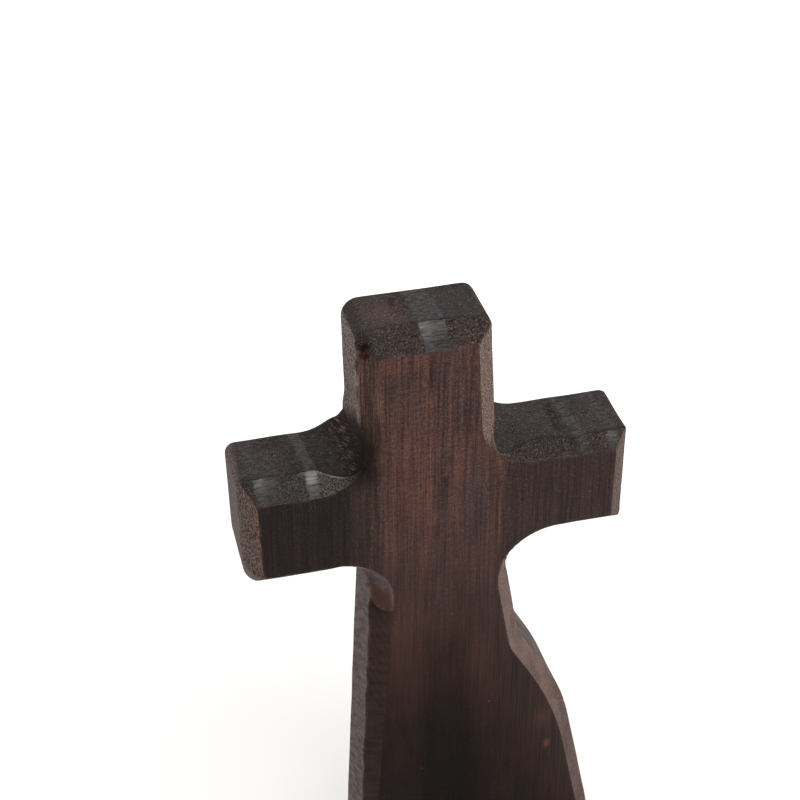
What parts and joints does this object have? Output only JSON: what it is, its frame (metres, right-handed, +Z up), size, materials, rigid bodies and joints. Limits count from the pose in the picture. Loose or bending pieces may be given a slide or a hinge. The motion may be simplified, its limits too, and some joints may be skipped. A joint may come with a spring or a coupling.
{
  "type": "wooden cross",
  "caption": "Standing carved wooden cross from one thick dark-stained board, with broad front chamfers, scooped inner corners and a stem that bows out to one side.",
  "frame": {"origin": "on the floor under the middle of the arms' span, half way through the board's thickness", "axes": "+Z up along the stem, +X to the viewer's right along the arms, +Y from the carved front face towards the plain back"},
  "size_m": [0.1013, 0.022, 0.2021],
  "materials": {
    "stained_wood": "dark brown stain with a dull satin surface, darker and speckled on the end grain"
  },
  "bodies": {
    "root": {"wooden_cross": "stained_wood"}
  },
  "joints": []
}
